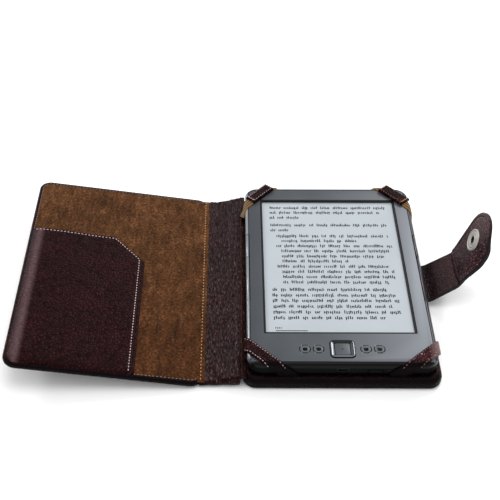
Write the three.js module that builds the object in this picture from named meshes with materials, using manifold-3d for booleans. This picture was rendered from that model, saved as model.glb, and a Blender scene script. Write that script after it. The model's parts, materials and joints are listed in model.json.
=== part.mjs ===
// A six-inch e-reader held by four corner straps in an open book-style leather cover.
// Millimetres. +X points to the closure strap, +Y to the top of the device, +Z up.
// The origin is the middle of the cover's back panel, on the face that it lies on.

import * as THREE from 'three';
import { mergeVertices } from 'three/addons/utils/BufferGeometryUtils.js';
import Module from 'manifold-3d';

const wasm = await Module();
wasm.setup();

// ---- driving dimensions ----

const gap = 0.3; // between neighbouring pieces

const panel = { width: 119, height: 172, corner: 8, rim: 1.6, skin: 1.2 };
const back = { thickness: 8, lining: 1.5 };
const front = { thickness: 4, lining: 0.8, width: 119.1, rim: 1.4, skin: 0.9, tilt: 8.7 };
const spine = { length: 20.1, thickness: 3, height: 169, slope: 8.6, setOff: 1.9, pivotHeight: 5 };

const device = { width: 114, height: 166, depth: 8.7, corner: 9, shiftY: 1.7, wall: 1.6 };
const shell = { height: 4.8, floor: 1.2, bevel: 1.5 };
const bezel = { bottom: 5, plate: 1.4, bevel: 1, wall: 1.8 };
const screen = { width: 90.6, height: 125.3, centreY: 5.85, border: 1, recess: 1.4 };
const key = { width: 6.9, height: 6.6, corner: 3.1, y: -70.8, bottom: 6.8, proud: 0.4 };
const pad = { width: 14.6, height: 14, corner: 2.6, hole: 9.8, button: 9.1, tall: 0.4, proud: 0.5 };
const pageKey = { depth: 2.1, height: 2.4, bottom: 5.3, travel: 0.5, seams: [-30, 11, 33] };

const strap = { thickness: 1.2, topWidth: 6.8, bottomWidth: 8.8, alongX: 15.5, topAlongY: 19.3, bottomAlongY: 14.3 };
const sleeveShare = 0.74; // of a top strap's band; the rest is elastic
const sleeveGap = 0.012; // share of the band left clear between sleeve and elastic

const closure = { length: 24.9, thickness: 2.4, rootWidth: 33.5, width: 31, rise: 41.7, pivotHeight: 5, setOff: 1.6 };
const tip = { length: 41.6, width: 30.6, lean: 70.6, start: 1.5 };
const snap = { reach: 22.4, radius: 7.15, proud: 1.1, well: 2.5, studRadius: 6, knob: 1.9, knobHeight: 1.65 };

// ---- materials ----

const paint = (colour, roughness, metalness = 0) =>
  new THREE.MeshStandardMaterial({ color: colour, roughness, metalness });

const leather = paint('#3a2024', 0.5);
const suede = paint('#5f3f26', 0.95);
const greyboard = paint('#8c8577', 0.9);
const elastic = paint('#8a5a1e', 0.9);
const silverPaint = paint('#85888c', 0.42, 0.35);
const darkShell = paint('#34363a', 0.7);
const black = paint('#0d0f10', 0.6);
const paperWhite = paint('#d5dcdf', 0.85);
const magnesium = paint('#9aa0a3', 0.5, 0.8);
const cell = paint('#b9bdc1', 0.4, 0.6);
const board = paint('#1f5a3a', 0.6);
const steel = paint('#b4b6b8', 0.3, 1);
const keyGrey = paint('#8f9296', 0.5, 0.2);
const brightRing = paint('#c3c7ca', 0.25, 0.6);
const lightGreen = paint('#7fc06a', 0.3);

// ---- small tools ----

const radians = THREE.MathUtils.degToRad;

function addMesh(parent, name, geometry, material, x = 0, y = 0, z = 0) {
  const mesh = new THREE.Mesh(geometry, material);
  mesh.name = name;
  mesh.position.set(x, y, z);
  parent.add(mesh);
  return mesh;
}

function roundedRectangle(width, height, radius, x = 0, y = 0) {
  const shape = new THREE.Shape();
  const halfX = width / 2;
  const halfY = height / 2;
  const corners = [[-1, -1, Math.PI], [1, -1, 1.5 * Math.PI], [1, 1, 0], [-1, 1, 0.5 * Math.PI]];
  for (const [sideX, sideY, start] of corners) {
    const centreX = x + sideX * (halfX - radius);
    const centreY = y + sideY * (halfY - radius);
    shape.absarc(centreX, centreY, radius, start, start + Math.PI / 2, false);
  }
  shape.closePath();
  return shape;
}

function polygon(points) {
  return new THREE.Shape(points.map(([x, y]) => new THREE.Vector2(x, y)));
}

// A flat piece from z = low to z = high.
function plate(shape, low, high, curveSegments = 6) {
  const geometry = new THREE.ExtrudeGeometry(shape, {
    depth: high - low,
    bevelEnabled: false,
    curveSegments,
  });
  geometry.translate(0, 0, low);
  return geometry;
}

function box(lowX, highX, lowY, highY, lowZ, highZ) {
  const geometry = new THREE.BoxGeometry(highX - lowX, highY - lowY, highZ - lowZ);
  geometry.translate((lowX + highX) / 2, (lowY + highY) / 2, (lowZ + highZ) / 2);
  return geometry;
}

function cylinder(radius, low, high, x = 0, y = 0, sides = 32) {
  const geometry = new THREE.CylinderGeometry(radius, radius, high - low, sides);
  geometry.rotateX(Math.PI / 2);
  geometry.translate(x, y, (low + high) / 2);
  return geometry;
}

// A section drawn in X and Z, extruded along Y and centred on y = 0.
function alongY(section, length, curveSegments = 6) {
  const geometry = new THREE.ExtrudeGeometry(section, {
    depth: length,
    bevelEnabled: false,
    curveSegments,
  });
  geometry.rotateX(Math.PI / 2);
  geometry.translate(0, length / 2, 0);
  return geometry;
}

// A rounded plate whose lower or upper edge is bevelled: the far half is cut away.
function bevelledPlate(width, height, radius, low, high, bevel, bevelledEnd) {
  const shape = roundedRectangle(width - 2 * bevel, height - 2 * bevel, radius - bevel);
  const depth = 2 * (high - low - bevel);
  const geometry = new THREE.ExtrudeGeometry(shape, {
    depth,
    bevelEnabled: true,
    bevelThickness: bevel,
    bevelSize: bevel,
    bevelSegments: 3,
    curveSegments: 6,
  });
  const lowest = bevelledEnd === 'bottom' ? low : high - depth - 2 * bevel;
  geometry.translate(0, 0, lowest + bevel);
  return intersect(geometry, box(-width, width, -height, height, low, high));
}

function toSolid(geometry) {
  const bare = geometry.clone();
  bare.deleteAttribute('normal');
  bare.deleteAttribute('uv');
  const merged = mergeVertices(bare, 1e-5);
  const mesh = new wasm.Mesh({
    numProp: 3,
    vertProperties: new Float32Array(merged.attributes.position.array),
    triVerts: new Uint32Array(merged.index.array),
  });
  return new wasm.Manifold(mesh);
}

function toGeometry(solid) {
  const { vertProperties, triVerts } = solid.getMesh();
  const indexed = new THREE.BufferGeometry();
  indexed.setAttribute('position', new THREE.BufferAttribute(vertProperties, 3));
  indexed.setIndex(new THREE.BufferAttribute(triVerts, 1));
  const flat = indexed.toNonIndexed();
  flat.computeVertexNormals();
  return flat;
}

function cut(geometry, ...cutters) {
  return toGeometry(cutters.reduce((solid, cutter) => solid.subtract(toSolid(cutter)), toSolid(geometry)));
}

function join(geometry, ...others) {
  return toGeometry(others.reduce((solid, other) => solid.add(toSolid(other)), toSolid(geometry)));
}

function intersect(geometry, other) {
  return toGeometry(toSolid(geometry).intersect(toSolid(other)));
}

// ---- cover: back panel ----

function makeBackPanel(parent) {
  const { width, height, corner, rim, skin } = panel;
  const insideWidth = width - 2 * rim;
  const insideHeight = height - 2 * rim;
  const hollow = roundedRectangle(insideWidth, insideHeight, corner - rim);
  const filling = roundedRectangle(insideWidth - 2 * gap, insideHeight - 2 * gap, corner - rim - gap);
  const liningLow = back.thickness - back.lining;

  const outer = plate(roundedRectangle(width, height, corner), 0, back.thickness);
  const skinTray = cut(outer, plate(hollow, skin, back.thickness + 1));
  addMesh(parent, 'back_skin', skinTray, leather);
  addMesh(parent, 'back_board', plate(filling, skin + gap, liningLow - gap), greyboard);
  addMesh(parent, 'back_lining', plate(filling, liningLow, back.thickness), suede);
}

// ---- cover: spine, turning on the back panel's left edge ----

const spinePivotX = -panel.width / 2 - spine.setOff;

function halfStadium(length, radius, side) {
  const low = gap / 2;
  const startAngle = Math.asin(low / radius);
  const shape = new THREE.Shape();
  const turn = side === 'upper' ? 1 : -1;
  const ends = [[0, startAngle, Math.PI / 2], [-length, Math.PI / 2, Math.PI - startAngle]];
  for (const [centreX, from, to] of ends) {
    shape.absarc(centreX, 0, radius, turn * from, turn * to, turn < 0);
  }
  shape.closePath();
  return shape;
}

function makeSpine(parent) {
  const radius = spine.thickness / 2;
  const turned = new THREE.Group();
  turned.position.set(spinePivotX, 0, spine.pivotHeight);
  turned.rotation.y = -radians(spine.slope);
  parent.add(turned);
  const upper = alongY(halfStadium(spine.length, radius, 'upper'), spine.height);
  const lower = alongY(halfStadium(spine.length, radius, 'lower'), spine.height);
  addMesh(turned, 'spine_lining', upper, leather);
  addMesh(turned, 'spine_skin', lower, leather);
}

// ---- cover: front panel, turning on the spine's far edge; it lies to the left, lining up ----

function makeFrontPanel(parent) {
  const { width, rim, skin, lining } = front;
  const slope = radians(spine.slope);
  const turned = new THREE.Group();
  turned.position.set(
    spinePivotX - spine.length * Math.cos(slope),
    0,
    spine.pivotHeight - spine.length * Math.sin(slope),
  );
  turned.rotation.y = radians(front.tilt);
  parent.add(turned);

  const half = front.thickness / 2;
  const centreX = -spine.setOff - width / 2;
  const outline = roundedRectangle(width, panel.height, panel.corner, centreX);
  const hollow = roundedRectangle(width - 2 * rim, panel.height - 2 * rim, panel.corner - rim, centreX);
  const inset = rim + gap;
  const filling = roundedRectangle(
    width - 2 * inset, panel.height - 2 * inset, panel.corner - inset, centreX);
  const studX = snap.reach - panel.width / 2 - closure.setOff + spinePivotX;

  const tray = cut(
    plate(outline, -half, half),
    plate(hollow, skin - half, half + 1),
    cylinder(snap.studRadius + gap, -half - 1, half, studX),
  );
  addMesh(turned, 'front_skin', tray, leather);
  addMesh(turned, 'front_board', plate(filling, skin + gap - half, half - lining - gap), greyboard);
  addMesh(turned, 'front_lining', plate(filling, half - lining, half), suede);
  makePocket(turned, centreX - width / 2, half + gap);
  makeStud(turned, studX, skin - half);
}

function makePocket(parent, outerX, low) {
  const rightX = outerX + 77;
  const topY = 34;
  const chamfer = 20;
  const radius = panel.corner - 1;
  const leftX = outerX + 1;
  const bottomY = -panel.height / 2 + 1;
  const outline = new THREE.Shape();
  outline.moveTo(rightX, bottomY);
  outline.lineTo(rightX, topY - chamfer);
  outline.lineTo(rightX - chamfer, topY);
  outline.lineTo(leftX, topY);
  outline.absarc(leftX + radius, bottomY + radius, radius, Math.PI, 1.5 * Math.PI, false);
  outline.closePath();
  addMesh(parent, 'pocket', plate(outline, low, low + 1.2), leather);
}

function makeStud(parent, x, top) {
  const face = -front.thickness / 2 - 0.15;
  const disc = cylinder(snap.studRadius, face, top, x);
  const knob = cylinder(snap.knob, face - snap.knobHeight, face + 0.5, x, 0, 16);
  addMesh(parent, 'snap_stud', join(disc, knob), steel);
}

// ---- cover: corner straps over the device ----

const deviceTop = back.thickness + gap + device.depth;
const bandLow = deviceTop + gap;

const strapReachX = device.width / 2 + gap + strap.thickness;
const strapReachY = device.height / 2 + gap + strap.thickness;

// A band across one corner, seen from above, between two shares of its length from the side edge.
// It is worked out for the top right corner, and sideX and sideY mirror it to the others.
function bandOutline(sideX, sideY, band, from, to) {
  const start = new THREE.Vector2(strapReachX, strapReachY - band.alongY);
  const end = new THREE.Vector2(strapReachX - band.alongX, strapReachY);
  const along = end.clone().sub(start);
  const unit = along.clone().normalize();
  const across = new THREE.Vector2(-unit.y, unit.x).multiplyScalar(band.width / 2);
  const overrun = band.width;
  const first = start.clone().addScaledVector(along, from).addScaledVector(unit, from > 0 ? 0 : -overrun);
  const last = start.clone().addScaledVector(along, to).addScaledVector(unit, to < 1 ? 0 : overrun);
  const points = [[first, 1], [first, -1], [last, -1], [last, 1]].map(([point, side]) => {
    const place = point.clone().addScaledVector(across, side);
    return [place.x * sideX, place.y * sideY];
  });
  return polygon(sideX * sideY > 0 ? points : points.reverse());
}

// The band is trimmed outside the device, and a leg drops to the panel where it crosses each edge.
function cornerStrap(sideX, sideY, band, from, to) {
  const top = bandLow + strap.thickness;
  const tall = plate(bandOutline(sideX, sideY, band, from, to), back.thickness + gap, top);
  const trimmed = intersect(tall, box(-strapReachX, strapReachX, -strapReachY, strapReachY, 0, top + 1));
  const innerX = strapReachX - strap.thickness;
  const innerY = strapReachY - strap.thickness;
  return cut(trimmed, box(-innerX, innerX, -innerY, innerY, 0, bandLow));
}

function makeCornerStraps(parent) {
  const top = { alongX: strap.alongX, alongY: strap.topAlongY, width: strap.topWidth };
  const bottom = { alongX: strap.alongX, alongY: strap.bottomAlongY, width: strap.bottomWidth };
  for (const [side, sideX] of [['left', -1], ['right', 1]]) {
    const sleeve = cornerStrap(sideX, 1, top, 1 - sleeveShare, 1);
    const stretch = cornerStrap(sideX, 1, top, 0, 1 - sleeveShare - sleeveGap);
    const leatherStrap = cornerStrap(sideX, -1, bottom, 0, 1);
    addMesh(parent, `strap_top_${side}`, sleeve, leather, 0, device.shiftY);
    addMesh(parent, `elastic_top_${side}`, stretch, elastic, 0, device.shiftY);
    addMesh(parent, `strap_bottom_${side}`, leatherStrap, leather, 0, device.shiftY);
  }
}

// ---- cover: closure strap, turning on the back panel's right edge, and its tip with the snap ----

function makeClosure(parent) {
  const radius = closure.thickness / 2;
  const strapGroup = new THREE.Group();
  strapGroup.position.set(panel.width / 2 + closure.setOff, 0, closure.pivotHeight);
  strapGroup.rotation.y = -radians(closure.rise);
  parent.add(strapGroup);

  const section = new THREE.Shape();
  section.absarc(closure.length, 0, radius, -Math.PI / 2, Math.PI / 2, false);
  section.absarc(0, 0, radius, Math.PI / 2, 1.5 * Math.PI, false);
  section.closePath();
  const reach = closure.length + 2 * radius;
  const taper = polygon([
    [-reach, -closure.rootWidth / 2], [0, -closure.rootWidth / 2],
    [closure.length, -closure.width / 2], [reach, -closure.width / 2],
    [reach, closure.width / 2], [closure.length, closure.width / 2],
    [0, closure.rootWidth / 2], [-reach, closure.rootWidth / 2],
  ]);
  const flat = intersect(alongY(section, closure.rootWidth + 2), plate(taper, -3, 3));
  addMesh(strapGroup, 'closure_strap', flat, leather);

  const tipGroup = new THREE.Group();
  tipGroup.position.set(closure.length, 0, 0);
  tipGroup.rotation.y = -radians(tip.lean - closure.rise);
  strapGroup.add(tipGroup);
  makeTip(tipGroup, radius);
}

function makeTip(parent, half) {
  const round = tip.width / 2;
  const outline = new THREE.Shape();
  outline.moveTo(tip.start, -round);
  outline.lineTo(tip.length - round, -round);
  outline.absarc(tip.length - round, 0, round, -Math.PI / 2, Math.PI / 2, false);
  outline.lineTo(tip.start, round);
  outline.closePath();
  const wellOuter = snap.well + 0.7;
  const body = cut(
    plate(outline, -half, half, 12),
    cylinder(wellOuter + gap, -half - 1, half + 1, snap.reach, 0, 24),
  );
  addMesh(parent, 'closure_tip', body, leather);

  const face = half + snap.proud;
  const floor = -half + 0.4;
  const socket = cut(
    join(
      cylinder(snap.radius, half + gap / 2, face, snap.reach, 0, 40),
      cylinder(wellOuter, floor, face - 0.2, snap.reach, 0, 24),
    ),
    cylinder(snap.well, floor + 0.6, face + 1, snap.reach, 0, 24),
  );
  addMesh(parent, 'snap_socket', socket, steel);
  addMesh(parent, 'snap_cap', cylinder(snap.radius, -half - 0.8, -half - gap / 2, snap.reach, 0, 40), steel);
}

// ---- device ----

const pageKeys = [
  { name: 'page_forward_key', low: pageKey.seams[0], high: pageKey.seams[1] },
  { name: 'page_back_key', low: pageKey.seams[1], high: pageKey.seams[2] },
];
const frontKeys = [
  { name: 'back_key', x: -22.4 },
  { name: 'keyboard_key', x: -14.3 },
  { name: 'menu_key', x: 14 },
  { name: 'home_key', x: 22.1 },
];
const screwPlaces = [[-50.5, -74], [50.5, -74], [50.5, 74], [-50.5, 74]];
const bottomEdge = -device.height / 2;
const usb = { width: 7.6, low: 1.9, high: 4.5 };
const power = { x: 19, width: 8.6, low: 1.7, high: 3.9, travel: 0.4 };
const light = { x: 27.5, width: 1.8, low: 2.2, high: 3.4 };

function makeRearShell(parent) {
  const inside = roundedRectangle(
    device.width - 2 * device.wall, device.height - 2 * device.wall, device.corner - device.wall);
  const tray = cut(
    bevelledPlate(device.width, device.height, device.corner, 0, shell.height, shell.bevel, 'bottom'),
    plate(inside, shell.floor, shell.height + 1),
  );
  const bosses = screwPlaces.map(([x, y]) => cylinder(2.4, shell.floor - 0.5, shell.height - 0.1, x, y, 16));
  const bores = screwPlaces.map(([x, y]) => cylinder(1.1, shell.floor + 0.6, shell.height + 1, x, y, 12));
  const wallCuts = [[usb, 0], [power, power.x], [light, light.x]].map(([piece, x]) => box(
    x - piece.width / 2 - gap, x + piece.width / 2 + gap,
    bottomEdge - 1, bottomEdge + device.wall + 1,
    piece.low - gap, piece.high + gap,
  ));
  addMesh(parent, 'rear_shell', cut(join(tray, ...bosses), ...bores, ...wallCuts), darkShell);
}

function makeBezel(parent) {
  const { depth } = device;
  const plateLow = depth - bezel.plate;
  const under = roundedRectangle(
    device.width - 2 * bezel.wall, device.height - 2 * bezel.wall, device.corner - bezel.wall);
  const opening = roundedRectangle(
    screen.width + 2 * screen.border + 2 * gap, screen.height + 2 * screen.border + 2 * gap,
    0.8, 0, screen.centreY);
  const keyHoles = frontKeys.map(({ x }) => plate(
    roundedRectangle(key.width + 0.5, key.height + 0.5, key.corner + 0.2, x, key.y), 4, depth + 1));
  const padHole = plate(
    roundedRectangle(pad.width + 0.8, pad.height + 0.8, pad.corner + 0.4, 0, key.y), 4, depth + 1);
  const notches = [-1, 1].map((side) => {
    const inner = side * (device.width / 2 - pageKey.depth - pageKey.travel - 0.2);
    const outer = side * (device.width / 2 + 1);
    return box(
      Math.min(inner, outer), Math.max(inner, outer),
      pageKey.seams[0], pageKey.seams[2],
      bezel.bottom - 1, pageKey.bottom + pageKey.height + gap);
  });
  const body = cut(
    bevelledPlate(device.width, device.height, device.corner, bezel.bottom, depth, bezel.bevel, 'top'),
    plate(under, bezel.bottom - 1, plateLow),
    plate(opening, 4, depth + 1),
    ...keyHoles, padHole, ...notches,
  );
  addMesh(parent, 'front_bezel', body, silverPaint);
}

function makeScreen(parent) {
  const surface = device.depth - screen.recess - 0.2;
  const borderWidth = screen.width + 2 * screen.border;
  const borderHeight = screen.height + 2 * screen.border;
  const ring = roundedRectangle(borderWidth, borderHeight, 0.6, 0, screen.centreY);
  ring.holes.push(roundedRectangle(screen.width, screen.height, 0.4, 0, screen.centreY));
  addMesh(parent, 'screen_gasket', plate(ring, surface + gap, device.depth - 0.2, 3), black);
  const module = roundedRectangle(96, 130, 1, 0, screen.centreY);
  addMesh(parent, 'display_panel', plate(module, surface - 0.9, surface, 3), paperWhite);
}

function makeInsides(parent) {
  const frameLow = bezel.bottom;
  const frameHigh = frameLow + 0.6;
  const frameOutline = roundedRectangle(108.2, 161.6, device.corner - 2.2);
  frameOutline.holes.push(roundedRectangle(70, 60, 4, 0, 34));
  frameOutline.holes.push(roundedRectangle(70, 34, 4, 0, -26));
  const screwHoles = screwPlaces.map(([x, y]) => cylinder(1.1, frameLow - 1, frameHigh + 1, x, y, 12));
  addMesh(parent, 'mid_frame', cut(plate(frameOutline, frameLow, frameHigh), ...screwHoles), magnesium);

  addMesh(parent, 'battery', plate(roundedRectangle(62, 88, 2, 0, 30), 1.5, 4.5, 3), cell);
  addMesh(parent, 'main_board', plate(roundedRectangle(92, 54, 1.5, 0, -47.5), 2, 3, 3), board);
  addMesh(parent, 'shield_can', plate(roundedRectangle(36, 30, 0.8, -12, -46), 3.3, 4.6, 3), steel);
  addMesh(parent, 'key_sheet', plate(roundedRectangle(62, 17, 2, 0, key.y), 5.9, 6.25, 3), black);

  const socket = cut(
    box(-usb.width / 2, usb.width / 2, bottomEdge + 0.4, bottomEdge + 7.8, usb.low, usb.high),
    box(-usb.width / 2 + 0.5, usb.width / 2 - 0.5, bottomEdge - 1, bottomEdge + 6, usb.low + 0.5, usb.high - 0.5),
  );
  addMesh(parent, 'usb_socket', socket, steel);

  screwPlaces.forEach(([x, y], index) => {
    const head = cylinder(1.5, frameHigh + gap, frameHigh + gap + 0.8, x, y, 16);
    const shaft = cylinder(0.8, 2.4, frameHigh + gap + 0.4, x, y, 10);
    addMesh(parent, `case_screw_${index + 1}`, join(head, shaft), steel);
  });

  for (const [side, sign] of [['left', -1], ['right', 1]]) {
    const strip = box(-0.3, 0.3, pageKey.seams[0] + 2, pageKey.seams[2] - 2, 5.9, 7.1);
    addMesh(parent, `side_switch_${side}`, strip, board, sign * 53.8);
  }
}

function makeKeys(parent) {
  const keyTop = device.depth + key.proud;
  for (const { name, x } of frontKeys) {
    const cap = plate(roundedRectangle(key.width, key.height, key.corner, x, key.y), key.bottom, keyTop);
    addMesh(parent, name, cap, keyGrey);
  }

  const carrier = roundedRectangle(pad.width - 0.4, pad.height - 0.4, pad.corner, 0, key.y);
  carrier.holes.push(roundedRectangle(pad.hole + 0.4, pad.hole + 0.4, 1.6, 0, key.y));
  addMesh(parent, 'nav_carrier', plate(carrier, key.bottom, key.bottom + pad.tall), black);
  const ring = roundedRectangle(pad.width, pad.height, pad.corner, 0, key.y);
  ring.holes.push(roundedRectangle(pad.hole, pad.hole, 1.4, 0, key.y));
  addMesh(parent, 'nav_ring', plate(ring, key.bottom + 0.8, device.depth + pad.proud), brightRing);
  const button = plate(roundedRectangle(pad.button, pad.button, 1.1, 0, key.y), key.bottom, device.depth + 0.2);
  addMesh(parent, 'nav_button', button, keyGrey);

  for (const [side, sign] of [['left', -1], ['right', 1]]) {
    for (const { name, low, high } of pageKeys) {
      const inner = device.width / 2 - pageKey.depth;
      const outer = device.width / 2;
      const top = pageKey.bottom + pageKey.height;
      const section = polygon([
        [inner, pageKey.bottom], [outer, pageKey.bottom], [outer, top - 0.3], [outer - 0.3, top], [inner, top],
      ]);
      const bar = alongY(section, high - low - gap);
      if (sign < 0) bar.rotateZ(Math.PI);
      addMesh(parent, `${side}_${name}`, bar, keyGrey, 0, (low + high) / 2);
    }
  }

  const powerBar = box(
    power.x - power.width / 2, power.x + power.width / 2,
    bottomEdge - 0.4, bottomEdge + 2, power.low, power.high);
  addMesh(parent, 'power_key', powerBar, keyGrey);
  const lens = box(
    light.x - light.width / 2, light.x + light.width / 2,
    bottomEdge + 0.2, bottomEdge + 2.4, light.low, light.high);
  addMesh(parent, 'charge_light', lens, lightGreen);
}

function makeDevice(parent) {
  const reader = new THREE.Group();
  reader.position.set(0, device.shiftY, back.thickness + gap);
  parent.add(reader);
  makeRearShell(reader);
  makeBezel(reader);
  makeScreen(reader);
  makeInsides(reader);
  makeKeys(reader);
}

// ---- the whole object ----

const object = new THREE.Group();
makeBackPanel(object);
makeSpine(object);
makeFrontPanel(object);
makeCornerStraps(object);
makeClosure(object);
makeDevice(object);

export default object;
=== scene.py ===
import json
import math
import random

import bmesh
import bpy
from mathutils import Matrix, Vector, noise


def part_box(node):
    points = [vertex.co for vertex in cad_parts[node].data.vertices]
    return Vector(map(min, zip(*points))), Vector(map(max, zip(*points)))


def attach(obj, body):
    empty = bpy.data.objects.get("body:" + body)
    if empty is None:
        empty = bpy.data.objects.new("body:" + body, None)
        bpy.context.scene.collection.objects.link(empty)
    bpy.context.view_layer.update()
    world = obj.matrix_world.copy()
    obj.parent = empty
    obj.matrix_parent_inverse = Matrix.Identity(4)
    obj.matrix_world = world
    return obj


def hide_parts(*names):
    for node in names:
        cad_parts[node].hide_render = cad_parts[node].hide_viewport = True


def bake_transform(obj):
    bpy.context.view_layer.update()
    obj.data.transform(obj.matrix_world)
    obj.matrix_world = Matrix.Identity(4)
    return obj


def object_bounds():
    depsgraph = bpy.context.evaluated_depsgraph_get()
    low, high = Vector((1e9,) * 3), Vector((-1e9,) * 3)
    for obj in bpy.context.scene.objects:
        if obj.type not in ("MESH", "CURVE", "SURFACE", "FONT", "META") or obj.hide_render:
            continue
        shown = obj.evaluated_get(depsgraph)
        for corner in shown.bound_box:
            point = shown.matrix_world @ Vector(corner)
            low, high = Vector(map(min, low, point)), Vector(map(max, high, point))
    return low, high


# an e-reader held open in a burgundy leather folio cover
# lengths are in millimetres until a piece is finished, then metres

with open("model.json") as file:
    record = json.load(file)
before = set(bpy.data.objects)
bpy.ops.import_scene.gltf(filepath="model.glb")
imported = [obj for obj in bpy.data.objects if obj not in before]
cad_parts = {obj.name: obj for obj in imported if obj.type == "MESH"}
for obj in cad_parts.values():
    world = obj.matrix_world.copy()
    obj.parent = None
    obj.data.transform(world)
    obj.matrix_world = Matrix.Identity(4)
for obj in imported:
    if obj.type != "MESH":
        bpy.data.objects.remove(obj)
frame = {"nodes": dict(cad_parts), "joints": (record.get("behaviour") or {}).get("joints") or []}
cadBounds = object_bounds()
joints = {joint["name"]: joint for joint in frame["joints"]}


def smoothStep(value, low, high):
    share = min(max((value - low) / (high - low), 0), 1)
    return share * share * (3 - 2 * share)


def alongCurve(points, x):  # height of a smooth line through (x, height) points
    for (x0, y0), (x1, y1) in zip(points, points[1:]):
        if x <= x1:
            return y0 + (y1 - y0) * smoothStep(x, x0, x1)
    return points[-1][1]


def nodeBox(name):
    low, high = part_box(name)
    return low * 1000, high * 1000


def turnedAt(jointName, degrees):
    pivot = Vector(joints[jointName]["pos_m"]) * 1000
    return Matrix.Translation(pivot) @ Matrix.Rotation(math.radians(degrees), 4, "Y")


coverPlace = turnedAt("cover_fold", 8.7)  # front cover leans on the spine
tipPlace = turnedAt("strap_tip_fold", -70.6)

shellLow, shellHigh = nodeBox("rear_shell")
deviceBase = Vector(((shellLow.x + shellHigh.x) / 2, (shellLow.y + shellHigh.y) / 2, shellLow.z))
devicePlace = Matrix.Translation(deviceBase)
deviceLook = {"halfX": 57, "halfY": 83, "top": 8.7, "edge": 2.0, "panel": -0.4}


# camera, the angle and framing first

view = {
    "place": (-66.81, -481.11, 467.25),
    "pitch": 41.93,
    "yaw": 0.126,
    "roll": 0.105,
    "lens": 73.34,
    "shift": (0.0416, -0.0026),
}


def makeCamera():
    data = bpy.data.cameras.new("studioCamera")
    data.lens = view["lens"]
    data.sensor_width = 36
    data.shift_x, data.shift_y = view["shift"]
    data.clip_start = 0.01
    camera = bpy.data.objects.new("studioCamera", data)
    camera.location = Vector(view["place"]) / 1000
    turn = Matrix.Rotation(math.radians(view["yaw"]), 4, "Z")
    turn @= Matrix.Rotation(math.radians(90 - view["pitch"]), 4, "X")
    turn @= Matrix.Rotation(math.radians(view["roll"]), 4, "Z")
    camera.rotation_euler = turn.to_euler()
    bpy.context.scene.collection.objects.link(camera)
    bpy.context.scene.camera = camera


makeCamera()
print("camera set")


# materials

def linear(hexColour):
    channels = [int(hexColour[i:i + 2], 16) / 255 for i in (1, 3, 5)]
    return [c / 12.92 if c <= 0.04045 else ((c + 0.055) / 1.055) ** 2.4 for c in channels] + [1]


def addNode(tree, kind, settings=None):
    # a setting is an attribute, or an input by name or number with its value or the socket to link
    node = tree.nodes.new("ShaderNode" + kind)
    for name, value in (settings or {}).items():
        if isinstance(name, str) and hasattr(node, name):
            setattr(node, name, value)
        elif isinstance(value, bpy.types.NodeSocket):
            tree.links.new(value, node.inputs[name])
        else:
            node.inputs[name].default_value = value
    return node


def newMaterial(name, **constants):
    material = bpy.data.materials.new(name)
    material.use_nodes = True
    shader = material.node_tree.nodes["Principled BSDF"]
    for socket, value in constants.items():
        shader.inputs[socket.replace("_", " ")].default_value = value
    return material, material.node_tree, shader


def spread(tree, source, stops):  # colour ramp through hex stops
    ramp = addNode(tree, "ValToRGB", {"Fac": source})
    while len(ramp.color_ramp.elements) < len(stops):
        ramp.color_ramp.elements.new(0.5)
    for element, (place, colour) in zip(ramp.color_ramp.elements, stops):
        element.position = place
        element.color = linear(colour)
    return ramp.outputs["Color"]


def perMm(size):  # pattern scale for a feature of that size on metre coordinates
    return 1000 / size


def noiseAt(tree, vector, size, detail, roughness=0.6, distortion=0):
    return addNode(tree, "TexNoise", {"Scale": perMm(size), "Detail": detail, "Roughness": roughness,
                                      "Distortion": distortion, "Vector": vector}).outputs["Fac"]


def mapped(tree, value, low, high, toLow=0, toHigh=1, kind="LINEAR"):
    return addNode(tree, "MapRange", {"interpolation_type": kind, "From Min": low, "From Max": high,
                                      "To Min": toLow, "To Max": toHigh, "Value": value}).outputs["Result"]


def reckon(tree, operation, *terms):
    return addNode(tree, "Math", {"operation": operation, **dict(enumerate(terms))}).outputs["Value"]


def mixed(tree, share, first, second):
    return addNode(tree, "Mix", {"Factor": share, 2: first, 3: second}).outputs["Result"]


def tinted(tree, colour, tone, share, blend="MIX"):
    return addNode(tree, "Mix", {"data_type": "RGBA", "blend_type": blend, 0: share, 6: colour,
                                 7: linear(tone)}).outputs[2]


def alongAxis(tree, vector, axis):
    return addNode(tree, "SeparateXYZ", {"Vector": vector}).outputs[axis]


# painted light and shade: each ramp lightens or darkens the colour along an axis to stand in for how the lamps
# fall on the piece
def paintedLightRamp(tree, vector, colour, look):  # the colour runs out to a tone between two places along an axis, in mm
    axis, near, far, tone, blend = look
    share = mapped(tree, alongAxis(tree, vector, axis), near / 1000, far / 1000)
    return tinted(tree, colour, tone, share, blend)


def raiseGrain(tree, shader, height, relief, strength=1):  # relief in mm
    bump = addNode(tree, "Bump", {"Strength": strength, "Distance": relief / 1000, "Height": height})
    tree.links.new(bump.outputs["Normal"], shader.inputs["Normal"])


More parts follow.
